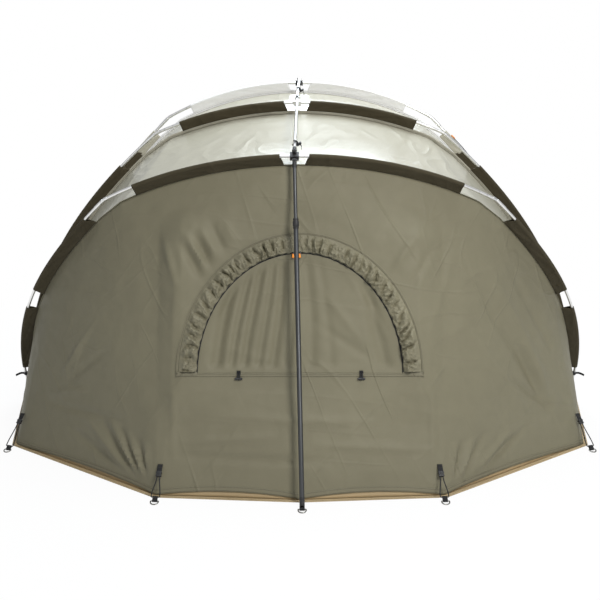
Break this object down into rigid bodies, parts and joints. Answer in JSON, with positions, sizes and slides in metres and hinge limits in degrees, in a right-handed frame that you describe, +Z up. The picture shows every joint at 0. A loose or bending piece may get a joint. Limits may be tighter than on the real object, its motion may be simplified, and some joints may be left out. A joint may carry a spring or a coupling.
{
  "type": "bivvy tent",
  "caption": "Half-dome shelter with an external folding rib frame, sleeved shell, half-moon rear window, front door, groundsheet and a telescopic rear pole.",
  "frame": {"origin": "on the ground under the groundsheet, at the middle of the line through both hub brackets", "axes": "+Z up, -Y out of the rear wall with the half-moon window, +X to the right of someone who faces the rear wall"},
  "size_m": [2.844, 2.7477, 1.6249],
  "materials": {
    "bare_aluminium": "satin",
    "black_plastic": "moulded",
    "black_webbing": "woven webbing",
    "graphite_tube": "dark anodised",
    "groundsheet_tan": "heavy coated sheet, matte",
    "puller_orange": "bright",
    "ring_steel": "polished wire",
    "roof_olive": "woven, taut and glossy",
    "shell_olive": "woven, water-repellent, semi-matte",
    "sleeve_olive": "woven, dark"
  },
  "bodies": {
    "base": {"adjuster_cord_rear_left": "black_plastic", "adjuster_cord_rear_right": "black_plastic", "adjuster_cord_side_left": "black_plastic", "adjuster_cord_side_right": "black_plastic", "adjuster_tab_rear_left": "black_plastic", "adjuster_tab_rear_right": "black_plastic", "adjuster_tab_side_left": "black_plastic", "adjuster_tab_side_right": "black_plastic", "groundsheet": "groundsheet_tan", "hub_left": "black_plastic", "hub_right": "black_plastic", "pole_foot_strap": "black_webbing", "rear_block": "black_plastic", "rear_crown": "bare_aluminium", "rear_leg_left": "bare_aluminium", "rear_leg_right": "bare_aluminium", "rear_sleeve": "sleeve_olive", "rear_wall": "shell_olive", "ring_strap_rear_left": "black_webbing", "ring_strap_rear_right": "black_webbing", "ring_strap_side_left": "black_webbing", "ring_strap_side_right": "black_webbing", "roof_rear_to_second": "roof_olive", "window_storm_band": "sleeve_olive"},
    "crown_bar_rear": {"crown_bar_rear": "bare_aluminium"},
    "crown_bar_second": {"crown_bar_second": "bare_aluminium"},
    "crown_bar_third": {"crown_bar_third": "bare_aluminium"},
    "door_panel": {"door_panel": "roof_olive"},
    "front_rib": {"front_block": "black_plastic", "front_crown": "bare_aluminium", "front_leg_left": "bare_aluminium", "front_leg_right": "bare_aluminium", "front_sleeve": "sleeve_olive", "front_wall": "shell_olive"},
    "ground_ring_middle": {"ground_ring_middle": "ring_steel"},
    "ground_ring_rear_left": {"ground_ring_rear_left": "ring_steel"},
    "ground_ring_rear_right": {"ground_ring_rear_right": "ring_steel"},
    "ground_ring_side_left": {"ground_ring_side_left": "ring_steel"},
    "ground_ring_side_right": {"ground_ring_side_right": "ring_steel"},
    "rear_pole_lock": {"rear_pole_lock": "black_plastic"},
    "rear_pole_lower": {"rear_pole_lower": "graphite_tube"},
    "rear_pole_upper": {"rear_pole_upper": "graphite_tube"},
    "second_rib": {"roof_second_to_third": "roof_olive", "second_block": "black_plastic", "second_crown": "bare_aluminium", "second_leg_left": "bare_aluminium", "second_leg_right": "bare_aluminium", "second_sleeve": "sleeve_olive"},
    "third_rib": {"roof_third_to_front": "roof_olive", "third_block": "black_plastic", "third_crown": "bare_aluminium", "third_leg_left": "bare_aluminium", "third_leg_right": "bare_aluminium", "third_sleeve": "sleeve_olive"},
    "window_panel": {"window_panel": "shell_olive"},
    "window_toggle_left": {"window_toggle_left": "black_plastic"},
    "window_toggle_right": {"window_toggle_right": "black_plastic"},
    "zip_slider_left": {"zip_slider_left": "puller_orange"},
    "zip_slider_right": {"zip_slider_right": "puller_orange"}
  },
  "joints": [
    {"name": "second_rib_fold", "type": "hinge", "parent": "base", "child": "second_rib", "pos_m": [0, 0, 0.06], "axis": [1, 0, 0], "range_deg": [0, 19], "deforming": ["roof_rear_to_second"]},
    {"name": "third_rib_fold", "type": "hinge", "parent": "second_rib", "child": "third_rib", "pos_m": [0, 0, 0.06], "axis": [1, 0, 0], "range_deg": [0, 16.6], "deforming": ["roof_second_to_third"]},
    {"name": "front_rib_fold", "type": "hinge", "parent": "third_rib", "child": "front_rib", "pos_m": [0, 0, 0.06], "axis": [1, 0, 0], "range_deg": [0, 18.6], "deforming": ["roof_third_to_front"]},
    {"name": "crown_bar_rear_swing", "type": "hinge", "parent": "base", "child": "crown_bar_rear", "pos_m": [-0.022, -0.96839, 1.31572], "axis": [1, 0, 0], "range_deg": [0, 62.2]},
    {"name": "crown_bar_second_swing", "type": "hinge", "parent": "second_rib", "child": "crown_bar_second", "pos_m": [-0.013, -0.38165, 1.52296], "axis": [1, 0, 0], "range_deg": [0, 62.2]},
    {"name": "crown_bar_third_swing", "type": "hinge", "parent": "third_rib", "child": "crown_bar_third", "pos_m": [-0.004, 0.15993, 1.61659], "axis": [1, 0, 0], "range_deg": [0, 62.2]},
    {"name": "rear_pole_swing", "type": "hinge", "parent": "base", "child": "rear_pole_upper", "pos_m": [-0.022, -0.98225, 1.27824], "axis": [-1, 0, 0], "range_deg": [0, 60]},
    {"name": "rear_pole_telescope", "type": "slide", "parent": "rear_pole_upper", "child": "rear_pole_lower", "axis": [-0.0224, 0.3152, 0.9488], "range_m": [0, 0.2]},
    {"name": "rear_pole_lock_turn", "type": "hinge", "parent": "rear_pole_lower", "child": "rear_pole_lock", "pos_m": [-0.01588, -1.06851, 1.01856], "axis": [-0.0224, 0.3152, 0.9488], "range_deg": [0, 90]},
    {"name": "window_panel_drop", "type": "hinge", "parent": "base", "child": "window_panel", "pos_m": [0, -1.15937, 0.46039], "axis": [-1, 0, 0], "range_deg": [0, 100]},
    {"name": "zip_slider_left_run", "type": "hinge", "parent": "base", "child": "zip_slider_left", "pos_m": [0, -1.13916, 0.52952], "axis": [0, -0.9517, 0.3071], "range_deg": [0, 84]},
    {"name": "zip_slider_right_run", "type": "hinge", "parent": "base", "child": "zip_slider_right", "pos_m": [0, -1.13916, 0.52952], "axis": [0, 0.9517, -0.3071], "range_deg": [0, 88]},
    {"name": "window_toggle_left_swing", "type": "hinge", "parent": "base", "child": "window_toggle_left", "pos_m": [-0.24, -1.16584, 0.46247], "axis": [0, -0.9517, 0.3071], "range_deg": [-75, 75]},
    {"name": "window_toggle_right_swing", "type": "hinge", "parent": "base", "child": "window_toggle_right", "pos_m": [0.24, -1.16584, 0.46247], "axis": [0, -0.9517, 0.3071], "range_deg": [-75, 75]},
    {"name": "door_panel_open", "type": "hinge", "parent": "front_rib", "child": "door_panel", "pos_m": [0, 1.17118, 0.1758], "axis": [-1, 0, 0], "range_deg": [0, 112]},
    {"name": "ground_ring_middle_lift", "type": "hinge", "parent": "base", "child": "ground_ring_middle", "pos_m": [0.008, -1.435, 0.0085], "axis": [-1, 0, 0], "range_deg": [0, 100]},
    {"name": "ground_ring_rear_left_lift", "type": "hinge", "parent": "base", "child": "ground_ring_rear_left", "pos_m": [-0.555, -1.355, 0.0085], "axis": [-0.996, 0.0889, 0], "range_deg": [0, 90]},
    {"name": "ground_ring_rear_right_lift", "type": "hinge", "parent": "base", "child": "ground_ring_rear_right", "pos_m": [0.555, -1.355, 0.0085], "axis": [-0.996, -0.0889, 0], "range_deg": [0, 90]},
    {"name": "ground_ring_side_left_lift", "type": "hinge", "parent": "base", "child": "ground_ring_side_left", "pos_m": [-1.28, -0.768, 0.0085], "axis": [-0.9498, 0.3128, 0], "range_deg": [0, 90]},
    {"name": "ground_ring_side_right_lift", "type": "hinge", "parent": "base", "child": "ground_ring_side_right", "pos_m": [1.28, -0.768, 0.0085], "axis": [-0.9498, -0.3128, 0], "range_deg": [0, 90]}
  ],
  "couplings": [
    {"joint": "third_rib_fold", "follows": "second_rib_fold", "ratio": 0.86842},
    {"joint": "front_rib_fold", "follows": "second_rib_fold", "ratio": 0.97368},
    {"joint": "crown_bar_rear_swing", "follows": "second_rib_fold", "ratio": 3.2632},
    {"joint": "crown_bar_second_swing", "follows": "second_rib_fold", "ratio": 3.2632},
    {"joint": "crown_bar_third_swing", "follows": "second_rib_fold", "ratio": 3.2632}
  ]
}
